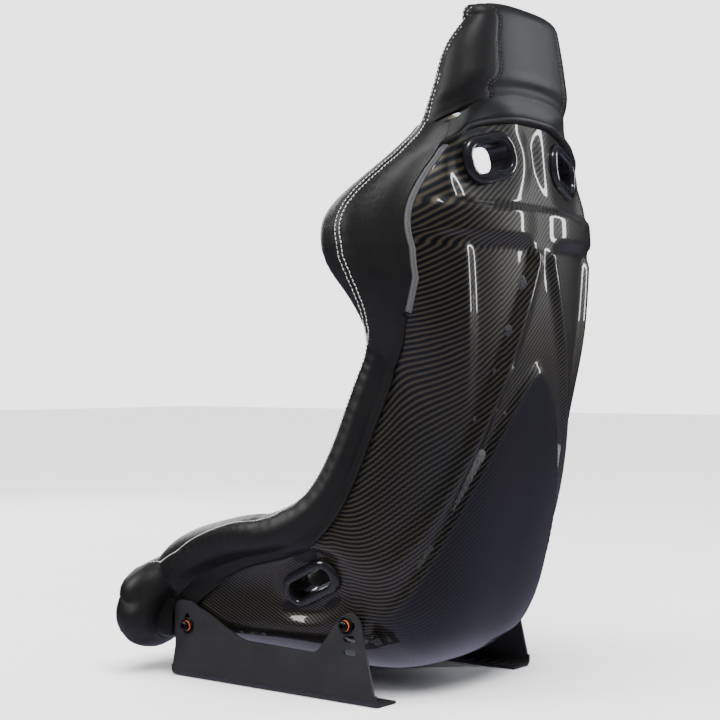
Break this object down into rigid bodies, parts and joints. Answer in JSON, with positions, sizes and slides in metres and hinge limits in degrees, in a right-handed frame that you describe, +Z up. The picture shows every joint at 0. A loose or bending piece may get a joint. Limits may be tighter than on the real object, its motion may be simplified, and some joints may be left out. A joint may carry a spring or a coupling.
{
  "type": "fixed-back racing seat",
  "caption": "Fixed-back bucket racing seat with a carbon shell, wrapped side bolsters and headrest, harness slots and slotted side-mount brackets.",
  "frame": {"origin": "centre of the footprint's bounding box on the ground plane", "axes": "+Z up, the seat faces -Y, +X is the occupant's left"},
  "size_m": [0.5338, 0.6181, 0.9296],
  "materials": {
    "carbon_shell": "clear-coated carbon fibre twill",
    "insert_fabric": "black textured knit over foam",
    "leather": "black satin grain over foam, pale stitching",
    "trim_tape": "dark woven edge tape",
    "bezel_plastic": "black, polished",
    "bracket_coat": "satin black powder coat on steel plate",
    "red_washer": "orange-red spring washer",
    "bolt_steel": "black oxide",
    "spacer_aluminium": "turned",
    "zinc_steel": "bright zinc"
  },
  "bodies": {
    "brackets": {"bracket_left": "bracket_coat", "bracket_right": "bracket_coat"},
    "seat": {"back_pad": "insert_fabric", "bolt_front_left": "bolt_steel", "bolt_front_right": "bolt_steel", "bolt_rear_left": "bolt_steel", "bolt_rear_right": "bolt_steel", "crotch_bezel_lower": "bezel_plastic", "crotch_bezel_upper": "bezel_plastic", "edge_trim_left": "trim_tape", "edge_trim_right": "trim_tape", "headrest_cover": "leather", "lap_bezel_inner_left": "bezel_plastic", "lap_bezel_inner_right": "bezel_plastic", "lap_bezel_outer_left": "bezel_plastic", "lap_bezel_outer_right": "bezel_plastic", "lumbar_pad": "insert_fabric", "seat_cushion": "insert_fabric", "shell": "carbon_shell", "shoulder_bezel_front_left": "bezel_plastic", "shoulder_bezel_front_right": "bezel_plastic", "shoulder_bezel_rear_left": "bezel_plastic", "shoulder_bezel_rear_right": "bezel_plastic", "side_bolster_left": "leather", "side_bolster_right": "leather", "spacer_front_left": "spacer_aluminium", "spacer_front_right": "spacer_aluminium", "spacer_rear_left": "spacer_aluminium", "spacer_rear_right": "spacer_aluminium", "spring_washer_front_left": "red_washer", "spring_washer_front_right": "red_washer", "spring_washer_rear_left": "red_washer", "spring_washer_rear_right": "red_washer", "threaded_insert_front_left": "zinc_steel", "threaded_insert_front_right": "zinc_steel", "threaded_insert_rear_left": "zinc_steel", "threaded_insert_rear_right": "zinc_steel", "washer_front_left": "zinc_steel", "washer_front_right": "zinc_steel", "washer_rear_left": "zinc_steel", "washer_rear_right": "zinc_steel"}
  },
  "joints": [
    {"name": "seat_tilt", "type": "hinge", "parent": "brackets", "child": "seat", "pos_m": [0, 0.1155, 0.1034], "axis": [1, 0, 0], "range_deg": [-2.4, 0.8]}
  ]
}
